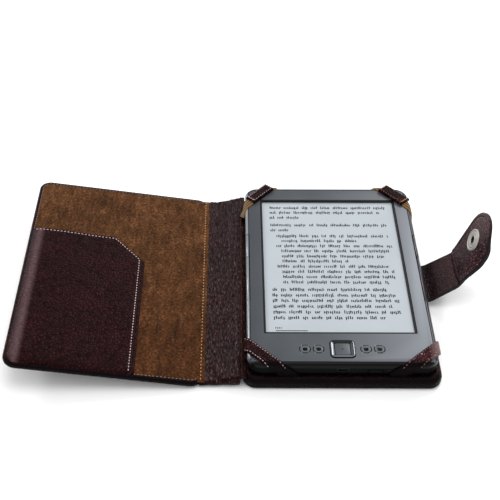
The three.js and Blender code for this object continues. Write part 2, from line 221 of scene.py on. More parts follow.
def grainLeather(name, look):
    # chrome-tanned cowhide, pressed pebble grain under a thin wax finish: small domes, soft broken highlights
    material, tree, shader = newMaterial(name, IOR=1.5, Specular_IOR_Level=look["shine"],
                                         Specular_Tint=linear("#fabcc1"))
    place = addNode(tree, "TexCoord").outputs
    laid = addNode(tree, "Mapping", {"Scale": look["stretch"], "Vector": place[look["along"]]}).outputs[0]
    pebbles = addNode(tree, "TexVoronoi", {"feature": "DISTANCE_TO_EDGE", "Scale": perMm(look["grain"]),
                                           "Vector": laid})
    domes = mapped(tree, pebbles.outputs["Distance"], 0, 0.3, kind="SMOOTHSTEP")
    pores = noiseAt(tree, laid, look["grain"] * 0.6, 3)
    strength = 1
    if "pressed" in look:  # grain fades out towards this height, where the hide was pressed smooth
        low, high = look["pressed"]
        strength = mapped(tree, alongAxis(tree, place["Object"], "Z"), low / 1000, high / 1000, 1, 0.25)
    raiseGrain(tree, shader, mixed(tree, 0.45, domes, pores), look["relief"], strength)
    patches = noiseAt(tree, place["Object"], look["patch"], 4)
    colour = spread(tree, patches, [(0.3, look["dark"]), (0.55, look["base"]), (0.75, look["light"])])
    # painted shade: the crevices between the pebbles are darkened
    colour = tinted(tree, colour, "#6a5a58", reckon(tree, "SUBTRACT", look["crease"], domes), "MULTIPLY")
    # painted highlight: the highest pebble tops are lightened towards a glint tone
    glintTops = reckon(tree, "MULTIPLY", domes, pores)
    colour = tinted(tree, colour, look["paintedGlint"], mapped(tree, glintTops, 0.5, 0.72))
    if "paintedEdgeHighlight" in look:  # painted highlight: a paler line along the rolled edge, where it catches the light
        middle, reach, pale = look["paintedEdgeHighlight"]
        away = reckon(tree, "SUBTRACT", alongAxis(tree, place["UV"], "X"), middle / 1000)
        near = mapped(tree, reckon(tree, "ABSOLUTE", away), 0, reach / 1000, 1, 0, "SMOOTHSTEP")
        colour = tinted(tree, colour, pale, reckon(tree, "MULTIPLY", near, pores))
    for part in look.get("fades", []):
        colour = paintedLightRamp(tree, place["Object"], colour, part)
    tree.links.new(colour, shader.inputs["Base Color"])
    tree.links.new(mapped(tree, pores, 0.3, 0.7, *look["rough"]), shader.inputs["Roughness"])
    return material


def brushedSuede(name, look):
    # split hide, sanded to a nap: no shine, a fine speckle and long strokes where it was last brushed
    material, tree, shader = newMaterial(name, Roughness=1, IOR=1.4, Specular_IOR_Level=0.1,
                                         Sheen_Weight=0.08, Sheen_Roughness=0.6, Sheen_Tint=linear("#c9925a"))
    place = addNode(tree, "TexCoord").outputs["Object"]
    nap = noiseAt(tree, place, look["nap"], 2)
    brushed = addNode(tree, "Mapping", {"Scale": (1, 0.3, 1), "Rotation": (0, 0, 0.12), "Vector": place})
    strokes = noiseAt(tree, brushed.outputs[0], look["stroke"], 4, distortion=0.4)
    handled = noiseAt(tree, place, look["handled"], 3, 0.5)
    pattern = mixed(tree, 0.18, mixed(tree, 0.6, strokes, nap), handled)
    # painted shade: the suede darkens towards the front, away from the lamps
    colour = paintedLightRamp(tree, place, spread(tree, pattern, look["tones"]), ("Y", 40, -85, "#dccfc6", "MULTIPLY"))
    tree.links.new(colour, shader.inputs["Base Color"])
    raiseGrain(tree, shader, nap, look["relief"])
    return material


def plainSurface(name, dark, light, texture, relief, rough, fades=(), **constants):
    # one colour with the small drift and fine texture that a moulded, painted or plated surface has
    # texture is the size of the fine marks and relief their height, both in mm
    material, tree, shader = newMaterial(name, **constants)
    place = addNode(tree, "TexCoord").outputs["Object"]
    marks = noiseAt(tree, place, texture, 3)
    drift = noiseAt(tree, place, 25, 2, 0.5)
    colour = spread(tree, mixed(tree, 0.5, marks, drift), [(0.35, dark), (0.65, light)])
    for part in fades:
        colour = paintedLightRamp(tree, place, colour, part)
    tree.links.new(colour, shader.inputs["Base Color"])
    tree.links.new(mapped(tree, marks, 0.3, 0.7, *rough), shader.inputs["Roughness"])
    raiseGrain(tree, shader, marks, relief)
    return material


def wovenElastic(name, look):
    # braided elastic: rubber cores under golden yarn, ribs along the band and a crossing weave
    material, tree, shader = newMaterial(name, Roughness=0.85, IOR=1.45, Sheen_Weight=0.3,
                                         Sheen_Roughness=0.4)
    place = addNode(tree, "TexCoord").outputs["UV"]
    waves = [addNode(tree, "TexWave", {"bands_direction": axis, "Scale": perMm(look[size] * 3.2),
                                       "Distortion": bend, "Detail": 1, "Vector": place}).outputs["Fac"]
             for axis, size, bend in (("X", "rib", 0.5), ("Y", "yarn", 1))]
    woven = mixed(tree, 0.35, *waves)
    tree.links.new(spread(tree, woven, look["tones"]), shader.inputs["Base Color"])
    raiseGrain(tree, shader, woven, look["relief"])
    return material


# grain is about 1 mm on the hide; drawn at nearly 2 mm so that it still shows at this size
coverHide = {"base": "#240a0c", "dark": "#190608", "light": "#2e1012", "paintedGlint": "#36201f", "grain": 1.9,
             "relief": 0.26, "patch": 18, "crease": 1.0, "rough": (0.26, 0.38), "shine": 0.05,
             "stretch": (1, 1, 1), "along": "Object"}
# painted shade: the front faces of the panels run to near black
pebbledHide = grainLeather("burgundyPebbledLeather", {
    **coverHide, "fades": [("Y", -80.3, -82.5, "#050506", "MIX")]})
pocketHide = grainLeather("burgundyPocketLeather", {
    **coverHide, "grain": 2.1, "crease": 0.9, "paintedEdgeHighlight": (-32.2, 4.5, "#675154")})
# painted shade: the straps' front ends run to near black
strapLook = {**coverHide, "grain": 1.7, "relief": 0.5, "along": "UV",
             "fades": [("Y", -78.4, -81.0, "#050506", "MIX")]}
strapHide = grainLeather("burgundyStrapLeather", {
    **strapLook, "base": "#2b0e12", "dark": "#1c080a", "light": "#3c191d", "paintedGlint": "#7a5f63"})
# painted highlight: the bottom right strap is a lighter copy of the strap leather, its right end lightened
# further where the right lamp catches it
litStrapRamps = [("X", 51, 58, "#75615f", "MIX")] + strapLook["fades"]
litStrapHide = grainLeather("burgundyStrapLeatherPaintedHighlight", {
    **strapLook, "base": "#51272d", "dark": "#33151a", "light": "#744c52", "paintedGlint": "#e8d2d6",
    "fades": litStrapRamps})
# painted shade: the closure strap darkens towards its root beside the device
tipHide = grainLeather("burgundyPressedLeather", {
    **coverHide, "base": "#4a3034", "dark": "#362024", "light": "#593e42", "paintedGlint": "#a08a8f", "grain": 1.7,
    "relief": 0.45, "along": "UV", "rough": (0.32, 0.46), "shine": 0.24, "pressed": (22, 34),
    "fades": [("X", 90, 66, "#33282a", "MULTIPLY")]})
webHide = grainLeather("burgundySpineLeather", {
    **coverHide, "base": "#1c080a", "dark": "#130507", "light": "#290f12", "paintedGlint": "#563e42",
    "stretch": (1, 0.4, 1), "shine": 0.115})
liningSuede = brushedSuede("brownBrushedSuede", {
    "nap": 1.3, "stroke": 4, "handled": 30, "relief": 0.15,
    "tones": [(0.38, "#26170c"), (0.46, "#3c2516"), (0.54, "#4e311d"), (0.64, "#6d4a30")]})
tanElastic = wovenElastic("goldenWovenElastic", {
    "rib": 1.9, "yarn": 1.1, "relief": 0.3, "tones": [(0.2, "#140a02"), (0.5, "#452b09"), (0.8, "#8a611f")]})
# bonded polyester thread: round, faintly shiny
tanThread = plainSurface("tanPolyesterThread", "#96693a", "#c29a66", 0.4, 0.05, (0.5, 0.7), IOR=1.5)
roseThread = plainSurface("rosePolyesterThread", "#a18486", "#cbb5b3", 0.4, 0.05, (0.45, 0.65), IOR=1.5)
dimThread = plainSurface("brownPolyesterThread", "#56443e", "#7d6a62", 0.4, 0.05, (0.5, 0.7), IOR=1.5)
# cut leather edge, dyed and burnished: dark, half smooth
dyedEdge = plainSurface("dyedLeatherEdge", "#080405", "#120a0b", 0.6, 0.06, (0.45, 0.65), IOR=1.5,
                        Specular_IOR_Level=0.2)
# injection-moulded ABS with a metallic lacquer: fine flake, satin
# painted light and shade: the lacquer lightens towards the right and runs to near black along the front edge
facePaint = plainSurface("graphiteMetallicLacquer", "#3f4347", "#494d51", 0.5, 0.012, (0.36, 0.44),
                         fades=[("X", -10, 57, "#5a5d62", "MIX"), ("Y", -78.7, -79.3, "#050506", "MIX")],
                         Metallic=0.45, IOR=1.5, Specular_IOR_Level=0.2)
# painted shade: the silver band darkens towards the right and runs to near black along the front
bandPaint = plainSurface("silverMetallicLacquer", "#75787c", "#86898c", 0.5, 0.012, (0.28, 0.36),
                         fades=[("X", 0, 50, "#77777c", "MULTIPLY"), ("Y", -75.6, -78.8, "#050506", "MIX")],
                         Metallic=0.5, IOR=1.5, Specular_IOR_Level=0.2)
shellPlastic = plainSurface("softTouchGraphiteAbs", "#060708", "#0b0c0e", 0.4, 0.03, (0.6, 0.75), IOR=1.45,
                            Specular_IOR_Level=0.08)
blackTrim = plainSurface("blackMattePolycarbonate", "#030304", "#060708", 0.5, 0.02, (0.5, 0.65), IOR=1.5,
                         Specular_IOR_Level=0.2)
# matte-etched film over electronic paper: dry, slightly cool white with no gloss
pageFilm = plainSurface("etchedElectronicPaperFilm", "#9da4aa", "#a4abb1", 0.6, 0.008, (0.62, 0.75),
                        IOR=1.45)
pageInk = plainSurface("darkElectronicInk", "#08090a", "#101214", 0.6, 0.002, (0.7, 0.8), IOR=1.4,
                       Specular_IOR_Level=0.2)
keyPlastic = plainSurface("satinGraphiteAbs", "#4b4f53", "#5a5e62", 0.4, 0.01, (0.36, 0.44), Metallic=0.3,
                          IOR=1.5, Specular_IOR_Level=0.3)
ringChrome = plainSurface("satinChromePlating", "#404346", "#5a5d60", 0.5, 0.006, (0.2, 0.3), Metallic=1)
nickel = plainSurface("stampedNickelPlate", "#94918c", "#b3afa8", 0.7, 0.05, (0.42, 0.58), Metallic=0.8)
print("leather, suede, thread, lacquer and metal ready")


# shared shaping tools

def faceOut(bm):
    bmesh.ops.recalc_face_normals(bm, faces=bm.faces[:])


def closeHoles(bm):
    bmesh.ops.holes_fill(bm, edges=[e for e in bm.edges if e.is_boundary])


def cutAcross(bm, point, normal, outer=True):  # drops the side the normal points to, or the other one
    bmesh.ops.bisect_plane(bm, geom=bm.verts[:] + bm.edges[:] + bm.faces[:], dist=1e-4, plane_co=point,
                           plane_no=normal, clear_outer=outer, clear_inner=not outer)
    closeHoles(bm)


def roundEdges(bm, edges, radius, steps):
    bmesh.ops.bevel(bm, geom=edges, offset=radius, offset_type="OFFSET", affect="EDGES", segments=steps,
                    profile=0.5, material=-1)


def newGrid(width, length, columns=1, rows=1):
    bm = bmesh.new()
    bmesh.ops.create_grid(bm, x_segments=columns, y_segments=rows, size=0.5)
    bmesh.ops.scale(bm, vec=(width, length, 1), verts=bm.verts)
    return bm


def roundedBlock(width, height, corner, low, high, x=0, y=0, steps=8):
    bm = newGrid(width, height)
    if corner:
        bmesh.ops.bevel(bm, geom=bm.verts[:], offset=corner, offset_type="OFFSET", affect="VERTICES",
                        segments=steps, profile=0.5, material=-1)
    bmesh.ops.translate(bm, vec=(x, y, low), verts=bm.verts)
    raiseFaces(bm, bm.faces[:], high - low)
    faceOut(bm)
    return bm


def raiseFaces(bm, faces, height):
    grown = bmesh.ops.extrude_face_region(bm, geom=faces)["geom"]
    bmesh.ops.translate(bm, vec=(0, 0, height), verts=[v for v in grown if isinstance(v, bmesh.types.BMVert)])


def roundLevel(bm, height, radius, steps=4):
    roundEdges(bm, [e for e in bm.edges if all(abs(v.co.z - height) < 1e-3 for v in e.verts)], radius, steps)


def topFace(bm):
    level = max(v.co.z for v in bm.verts)
    flat = [f for f in bm.faces if abs(f.calc_center_median().z - level) < 1e-3]
    return max(flat, key=lambda f: f.calc_area())


def insetTop(bm, face, *steps):  # each step is (how far in, how far up)
    for thickness, depth in steps:
        bmesh.ops.inset_region(bm, faces=[face], thickness=thickness, depth=0, use_even_offset=True)
        bmesh.ops.translate(bm, vec=(0, 0, depth), verts=face.verts)


def softSlab(columns, rows, size, shape, sides=0):
    # a grid of that size; shape moves each point (across, along, 0 underneath or 1 on top) to its place
    # sides is the material of the faces round the edge
    bm = newGrid(*size, columns, rows)
    raiseFaces(bm, bm.faces[:], 1)
    bm.normal_update()
    laid = bm.loops.layers.uv.new("laid")
    for face in bm.faces:
        for loop in face.loops:
            loop[laid].uv = loop.vert.co.xy / 1000
        if abs(face.normal.z) < 0.5:
            face.material_index = sides
    for vert in bm.verts:
        vert.co = shape(*vert.co)
    faceOut(bm)
    return bm


def roundCorner(x, y, cornerX, cornerY, radius):  # bends a square corner of a sheet into a round one
    sideX, sideY = math.copysign(1, cornerX), math.copysign(1, cornerY)
    a = 1 - (cornerX - x) * sideX / radius
    b = 1 - (cornerY - y) * sideY / radius
    if a <= 0 or b <= 0:
        return x, y
    return (cornerX + sideX * radius * (a * math.sqrt(1 - b * b / 2) - 1),
            cornerY + sideY * radius * (b * math.sqrt(1 - a * a / 2) - 1))


def finishPiece(bm, name, materials, place=None, smooth=35):
    if place:
        bmesh.ops.transform(bm, matrix=place, verts=bm.verts)
    bmesh.ops.scale(bm, vec=(0.001, 0.001, 0.001), verts=bm.verts)
    mesh = bpy.data.meshes.new(name)
    bm.to_mesh(mesh)
    bm.free()
    for material in materials:
        mesh.materials.append(material)
    mesh.shade_smooth()
    mesh.set_sharp_from_angle(angle=math.radians(smooth))
    piece = bpy.data.objects.new(name, mesh)
    bpy.context.scene.collection.objects.link(piece)
    return piece


def cutAway(piece, cutters):
    # takes the cutters' shapes out of a finished piece
    for bm in cutters:
        tool = finishPiece(bm, "tool", [])
        change = piece.modifiers.new("cut", "BOOLEAN")
        change.operation = "DIFFERENCE"
        change.solver = "EXACT"
        change.object = tool
        with bpy.context.temp_override(object=piece, active_object=piece):
            bpy.ops.object.modifier_apply(modifier=change.name)
        bpy.data.objects.remove(tool)
    piece.data.set_sharp_from_angle(angle=math.radians(35))


def sewLine(bm, spot, start, end, look):
    # spot(distance, lift) is a point on the seam; one small round stitch lies on it every pitch
    count = max(int(abs(end - start) / look["pitch"]), 1)
    for index in range(count):
        at = start + (end - start) * (index + 0.5) / count
        centre, ahead = spot(at, look["lift"]), spot(at + 0.2, look["lift"])
        along = (ahead - centre).normalized()
        up = (spot(at, 1) - spot(at, 0)).normalized()
        side = up.cross(along).normalized()
        turn = Matrix((along, side, along.cross(side))).transposed().to_4x4()
        size = Matrix.Diagonal((look["length"], look["width"], look["height"], 1))
        bmesh.ops.create_uvsphere(bm, u_segments=6, v_segments=4, radius=0.5,
                                  matrix=Matrix.Translation(centre) @ turn @ size)


def finishStitches(name, thread, place, runs):  # each run is (spot, start, end, look)
    bm = bmesh.new()
    for run in runs:
        sewLine(bm, *run)
    return finishPiece(bm, name, [thread], place)


def alongOutline(corners, distance):  # point at that distance along straight runs between corners
    for first, second in zip(corners, corners[1:]):
        run = (Vector(second) - Vector(first)).length
        if distance <= run:
            break
        distance -= run
    return Vector(first).lerp(Vector(second), distance / run)


def outlineLength(corners):
    return sum((Vector(b) - Vector(a)).length for a, b in zip(corners, corners[1:]))


def roundedCorners(halfX, halfY, radius, x=0, y=0, steps=6):  # closed run of points round a rounded rectangle
    points = []
    for sideX, sideY, start in ((1, -1, -90), (1, 1, 0), (-1, 1, 90), (-1, -1, 180)):
        for step in range(steps + 1):
            angle = math.radians(start + 90 * step / steps)
            points.append((x + sideX * (halfX - radius) + radius * math.cos(angle),
                           y + sideY * (halfY - radius) + radius * math.sin(angle)))
    return points + points[:1]


threadLook = {"pitch": 2.3, "length": 1.5, "width": 0.7, "height": 0.5, "lift": 0.1}


# back panel

spineEnd = -57.3  # the spine hide runs on to here, just short of the device
backCover = {"top": 3.4, "foot": 1.8, "sunk": 0.9, "suede": 1.4}


def makeBackPanel():
    low, high = nodeBox("back_skin")
    width, length = high.x - low.x, high.y - low.y
    bm = roundedBlock(width, length, 8, low.z, high.z)
    roundLevel(bm, high.z, backCover["top"], 6)
    roundLevel(bm, low.z, backCover["foot"], 4)
    insetTop(bm, topFace(bm), (0.15, 0), (0.5, -backCover["sunk"]))
    hide = finishPiece(bm, "backLeather", [pebbledHide])
    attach(hide, "root")
    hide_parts("back_skin")

    inside = high.z - 0.1
    left, right = deviceBase.x - deviceLook["halfX"] + 0.3, deviceBase.x + deviceLook["halfX"] - 3
    half, middle = deviceLook["halfY"] - 3, deviceBase.y

    def shape(across, along, top):
        x, y = (left + right) / 2 + across, along
        for sideY in (-1, 1):
            x, y = roundCorner(x, y, right, sideY * half, 9)
            x, y = roundCorner(x, y, left, sideY * half, 9)
        y += middle
        dip = 0.12 * noise.noise(Vector((x / 14, y / 14, 3)))
        return x, y, inside - backCover["suede"] * (1 - top) + dip * top

    suede = finishPiece(softSlab(60, 80, (right - left, 2 * half), shape), "backSuede", [liningSuede])
    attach(suede, "root")
    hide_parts("back_lining")


makeBackPanel()
print("back panel made")


# front panel, in the place it leans in: x runs back from the fold, lining up

frontCover = {"right": -1.9, "width": 119.1, "length": 172, "half": 2, "round": 1.5, "lip": 2.0,
              "suedeTop": 1.85, "suedeRight": -0.9}
pocketLook = {"left": -119.2, "right": -45.2, "bottom": -84.2, "top": 34, "chamfer": 20, "thick": 1.1}


def suedeHeight(x, y):
    look = frontCover
    swell = 0.22 * noise.noise(Vector((x / 17, y / 17, 0))) + 0.08 * noise.noise(Vector((x / 5, y / 5, 5)))
    over = 0.45 * smoothStep(x, look["suedeRight"] - 7, look["suedeRight"] - 2)
    seam = -0.22 * math.exp(-((look["suedeRight"] - 2.8 - x) / 0.8) ** 2)
    return look["suedeTop"] + swell + over + seam


def makeFrontPanel():
    look = frontCover
    middle = look["right"] - look["width"] / 2
    bm = roundedBlock(look["width"], look["length"], 8, -look["half"], look["half"], x=middle)
    roundLevel(bm, look["half"], look["round"], 4)
    roundLevel(bm, -look["half"], look["round"], 4)
    insetTop(bm, topFace(bm), (0.3, 0), (0.25, -0.5))
    hide = finishPiece(bm, "frontLeather", [pebbledHide], coverPlace)
    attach(hide, "front_cover")
    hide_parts("front_skin")

    left, right = look["right"] - look["width"] + look["lip"], look["suedeRight"]
    half = look["length"] / 2 - look["lip"] + 0.2
    centre = (left + right) / 2

    def shape(across, along, top):
        x, y = centre + across, along
        for sideY in (-1, 1):
            x, y = roundCorner(x, y, left, sideY * half, 6)
        edge = min(x - left, half - abs(y), right - x)
        height = suedeHeight(x, y)
        return x, y, height - (0.35 * math.exp(-edge / 0.5) if top else 0.9)

    bm = softSlab(110, 150, (right - left, 2 * half), shape)
    suede = finishPiece(bm, "frontSuede", [liningSuede], coverPlace)
    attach(suede, "front_cover")
    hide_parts("front_lining")


def pocketHeight(x, y):  # the pocket stands up from its sewn sides and lies flatter towards its open ones
    look = pocketLook
    fromLeft, fromFoot = x - look["left"], y - look["bottom"]
    bulge = 2.1 * (1 - math.exp(-fromLeft / 2.2)) * (1 - math.exp(-fromFoot / 2.0))
    bulge *= 1 - 0.45 * smoothStep(fromLeft, 8, 60)
    wave = 0.25 * noise.noise(Vector((x / 22, y / 28, 9))) * smoothStep(fromLeft, 2, 12)
    return 2.15 + bulge + wave


def pocketSeam(inset):  # run of the seam that far inside the open edges, from the top left round to the foot
    look = pocketLook
    right, top = look["right"], look["top"]
    cut = look["chamfer"] - inset * 0.59
    return [(look["left"] + 1.5, top - inset), (right + 0.6 - cut - inset * 0.4, top - inset),
            (right - inset, top - cut - inset * 0.4), (right - inset, look["bottom"] + 1)]


def makePocket():
    look = pocketLook
    width, length = look["right"] - look["left"], look["top"] - look["bottom"]
    middleX, middleY = (look["left"] + look["right"]) / 2, (look["top"] + look["bottom"]) / 2

    def shape(across, along, top):
        return middleX + across, middleY + along, top

    bm = softSlab(100, 120, (width, length), shape)
    cutAcross(bm, (look["right"], look["top"] - look["chamfer"], 0), (1, 1, 0))
    for vert in bm.verts:
        x, y = roundCorner(vert.co.x, vert.co.y, look["left"], look["bottom"], 6)
        corner = (look["right"] + look["top"] - look["chamfer"] - x - y) * 0.707
        edge = min(look["right"] - x, look["top"] - y, corner)
        rolled = 0.3 * math.exp(-max(edge, 0) / 0.35)
        pressed = 0.25 * math.exp(-((edge - 1.7) / 0.6) ** 2)
        height = pocketHeight(x, y)
        foot = height - look["thick"] + rolled * 0.3
        vert.co = (x, y, height - rolled - pressed if vert.co.z > 0.5 else foot)
    faceOut(bm)
    pocket = finishPiece(bm, "pocketLeather", [pocketHide], coverPlace, smooth=50)
    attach(pocket, "front_cover")
    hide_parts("pocket")

    bm = roundedBlock(2.0, look["top"] - look["chamfer"] - look["bottom"], 0.6, 1.7, 3.0,
                      x=look["right"] + 0.85, y=(look["top"] - look["chamfer"] + look["bottom"]) / 2, steps=4)
    roundLevel(bm, 3.0, 0.62, 4)
    hem = finishPiece(bm, "pocketHem", [pocketHide], coverPlace)
    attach(hem, "front_cover")

    seam = pocketSeam(1.7)

    def spot(distance, lift):
        at = alongOutline(seam, distance)
        return Vector((at.x, at.y, pocketHeight(at.x, at.y) - 0.1 + lift))

    run = (spot, 0, outlineLength(seam) - 0.5, threadLook)
    thread = finishStitches("pocketStitches", roseThread, coverPlace, [run])
    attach(thread, "front_cover")


def makeCoverStitches():
    look = frontCover
    middle = look["right"] - look["width"] / 2
    rim = roundedCorners(look["width"] / 2 - 2.4, look["length"] / 2 - 2.4, 5.6, x=middle)
    bm = bmesh.new()

    def onRim(distance, lift):
        at = alongOutline(rim, distance)
        return Vector((at.x, at.y, look["half"] - 0.1 + lift))

    def underneath(distance, lift):
        at = alongOutline(rim, distance)
        return Vector((at.x, at.y, -look["half"] - lift))

    around = outlineLength(rim)
    sewLine(bm, onRim, 0, around, threadLook)
    sewLine(bm, underneath, 0, around, threadLook)
    covered = [v for v in bm.verts if v.co.x > look["right"] - 3.4 and v.co.z > 0]
    bmesh.ops.delete(bm, geom=covered, context="VERTS")
    thread = finishPiece(bm, "rimStitches", [dimThread], coverPlace)
    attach(thread, "front_cover")

    def beside(distance, lift):
        x = look["suedeRight"] - 2.8
        return Vector((x, distance, suedeHeight(x, distance) + lift))

    run = (beside, -83.4, 83.6, {**threadLook, "pitch": 2.7, "lift": 0.2})
    thread = finishStitches("liningStitches", tanThread, coverPlace, [run])
    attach(thread, "front_cover")


makeFrontPanel()
makePocket()
makeCoverStitches()
print("front panel and pocket made")


# spine, one soft piece of hide across both folds, cut in two halfway between them

spineLook = {
    "left": -85.6, "right": spineEnd, "low": -84.6, "high": 85.0,
    "inside": [(-86, 3.0), (-83.4, 3.5), (-80.6, 4.9), (-76, 4.9), (-70, 6.1), (-65, 7.7), (-61.8, 8.5),
               (-59, 8.35), (-57, 8.2)],
    "outside": [(-86, 1.3), (-83.4, 0.75), (-78, 0.5), (-65, 0.7), (-61.5, 0.8), (-60.2, 7.3), (-57, 7.5)],
    "wrinkle": 0.44,
}


def spineHeight(x, y):
    look = spineLook
    height = alongCurve(look["inside"], x)
    slant = x + 0.12 * y
    creases = noise.noise(Vector((slant / 1.2, y / 5, 1)))
    creases += 0.9 * noise.noise(Vector((slant / 2.1, y / 8, 4)))
    shrink = 0.3 * noise.noise(Vector((x / 1.5, y / 2.4, 7)))
    free = smoothStep(x, -83.5, -80) * (1 - smoothStep(x, -64.5, -61))
    return height + look["wrinkle"] * (creases + shrink) * (0.12 + 0.88 * free)


def makeSpine():
    look = spineLook
    middleX, middleY = (look["left"] + look["right"]) / 2, (look["low"] + look["high"]) / 2
    size = (look["right"] - look["left"], look["high"] - look["low"])

    def shape(across, along, top):
        x, y = middleX + across, middleY + along
        end = min(look["high"] - y, y - look["low"])
        tuck = max(1 - end / 2.2, 0)
        drop = 1 - math.sqrt(max(1 - tuck * tuck, 0))
        ends = 0.35 * noise.noise(Vector((x / 5, y / 50, 12)))
        inside, outside = spineHeight(x, y), alongCurve(look["outside"], x)
        halfway = outside + (inside - outside) * 0.55
        level, share = (inside, 0.75) if top else (outside, 0.6)
        level += (halfway - level) * share * drop
        return x, y + ends * smoothStep(abs(y), 70, 85), level

    fold = (joints["spine_fold"]["pos_m"][0] + joints["cover_fold"]["pos_m"][0]) * 500
    turns = {"Left": ("front_cover", "spine", "cover_fold", "spine_lining"),
             "Right": ("spine", "root", "spine_fold", "spine_skin")}
    for side, (first, second, joint, node) in turns.items():
        bm = softSlab(100, 210, size, shape)
        cutAcross(bm, (fold, 0, 0), (1, 0, 0), side == "Left")
        half = finishPiece(bm, "spineLeather" + side, [webHide], smooth=50)
        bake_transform(half)
        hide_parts(node)

    def edge(across, along, top):  # thin strip of the lining showing where the spine hide passes under it
        x, y = -60.0 + across, along
        return x, y, spineHeight(x, y) + (0.12 if top else -0.2)

    strip = finishPiece(softSlab(2, 120, (0.36, 164), edge), "liningEdge", [liningSuede])
    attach(strip, "root")


makeSpine()
print("spine made")


# corner straps, flat runs that fold down over the device's edges; places are from the device's middle

sleeveBand = {"width": 7.5, "thick": 2.2, "lift": 0.45, "extra": 0, "flare": 0, "pull": 0}
elasticBand = {"width": 6.2, "thick": 1.0, "lift": 0.12, "extra": 17, "flare": 3.2, "pull": 0.7}
cornerBand = {"width": 8.6, "thick": 1.4, "lift": 0.2, "extra": 16, "flare": 0, "pull": 0}
bandRuns = {  # node, where the centre line starts and ends, sizes
    "sleeveTopLeft": ("strap_top_left", (-53.6, 67.1), (-39.9, 82.5), sleeveBand),
    "sleeveTopRight": ("strap_top_right", (54.4, 66.0), (40.0, 81.6), {**sleeveBand, "width": 8.6}),
    "elasticTopLeft": ("elastic_top_left", (-52.5, 68.3), (-39.7, 82.5), elasticBand),
    "elasticTopRight": ("elastic_top_right", (54.0, 65.6), (39.2, 81.8), {**elasticBand, "flare": 0.4}),
    "strapBottomLeft": ("strap_bottom_left", (-57, -67.9), (-41.4, -83), cornerBand),
    "strapBottomRight": ("strap_bottom_right", (57, -69.9), (41.9, -83), cornerBand),
}


def overDevice(x, y, lift, look):
    case = deviceLook
    place = [x, y]
    height = case["top"] + lift
    if not look["extra"]:
        return Vector((x, y, height))
    for axis, half in enumerate((case["halfX"], case["halfY"])):
        start = half - case["edge"]
        beyond = abs(place[axis]) - start
        if beyond > 0:
            neutral = case["edge"] + 0.7
            angle = min(beyond / neutral, math.pi / 2)
            down = max(beyond - neutral * math.pi / 2, 0)
            reach = case["edge"] + lift
            out = look["flare"] * smoothStep(down, 0, 9) if axis == 0 else 0
            place[axis] = math.copysign(start + reach * math.sin(angle) + out, place[axis])
            height = case["top"] - case["edge"] + reach * math.cos(angle) - down
            if axis == 0:
                place[1] += look["pull"] * down
    return Vector((place[0], place[1], height))


def makeBand(name, node, start, end, look):
    elastic = "elastic" in name
    forward = (Vector(end) - Vector(start)).normalized()
    length = (Vector(end) - Vector(start)).length + 2 * look["extra"]
    sideways = Vector((-forward.y, forward.x))
    middle = (Vector(start) + Vector(end)) / 2
    seed = len(name) + start[0]

    def flat(across, run):
        at = middle + forward * run + sideways * across
        return at.x, at.y

    def skin(across, run, top):
        edge = 1 - abs(across) * 2 / look["width"]
        height = look["thick"] * (0.6 + 0.4 * math.sqrt(max(1 - (1 - min(edge / 0.3, 1)) ** 2, 0)))
        if not look["extra"]:
            height *= 0.8 + 0.2 * math.sqrt(max(1 - (max(abs(run) - length / 2 + 1.2, 0) / 1.2) ** 2, 0))
        if not elastic:
            height -= 0.2 * math.exp(-((look["width"] / 2 - abs(across) - 1.05) / 0.35) ** 2)
        wave = 0.14 * noise.noise(Vector((run / 5, across / 4, seed)))
        return look["lift"] + (height + wave if top else 0)

    def shape(across, run, top):
        return overDevice(*flat(across, run), skin(across, run, top), look)

    bm = softSlab(12 if elastic else 20, int(length / 0.45), (look["width"], length), shape)
    cutAcross(bm, (0, 0, deviceLook["panel"]), (0, 0, 1), False)
    faceOut(bm)
    hide = litStrapHide if name == "strapBottomRight" else strapHide
    band = finishPiece(bm, name, [tanElastic if elastic else hide], devicePlace, smooth=50)
    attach(band, "root")
    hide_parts(node)
    if elastic:
        return

    def beside(side):
        across = side * (look["width"] / 2 - 1.05)
        return lambda run, lift: overDevice(*flat(across, run), skin(across, run, 1) + lift, look)

    def atEnd(run):
        return lambda across, lift: overDevice(*flat(across, run), skin(across, run, 1) + lift, look)

    thread = {**threadLook, "pitch": 2.0, "length": 1.35, "width": 0.42}
    sides = bmesh.new()
    for side in (-1, 1):
        sewLine(sides, beside(side), 0.8 - length / 2, length / 2 - 0.8, thread)
    bmesh.ops.delete(sides, geom=[v for v in sides.verts if v.co.z < 7 and v.co.y < 0], context="VERTS")
    sewn = finishPiece(sides, name + "Stitches", [roseThread if "Left" in name else dimThread], devicePlace)
    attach(sewn, "root")
    if not look["extra"]:
        thick = {**thread, "pitch": 1.6, "length": 1.2, "width": 0.75, "height": 0.8, "lift": 0.2}
        runs = [(atEnd(run), 1 - look["width"] / 2, look["width"] / 2 - 1, thick)
                for run in (1.1 - length / 2, length / 2 - 1.1)]
        sewn = finishStitches(name + "Ends", roseThread if "Left" in name else tanThread, devicePlace, runs)
        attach(sewn, "root")


for name, (node, start, end, look) in bandRuns.items():
    makeBand(name, node, start, end, look)
print("corner straps made")


# closure strap: one bent strap, cut in two halfway to the crease

closureLook = {"thick": 2.4, "rootWidth": 33.5, "width": 31.2, "tipWidth": 30.6, "tip": 41.6, "sag": 4.2,
               "groove": 2.9, "start": (52, 4.4), "bendRoot": 9, "bendCrease": 12, "splay": 5,
               "nearEdge": -0.468}


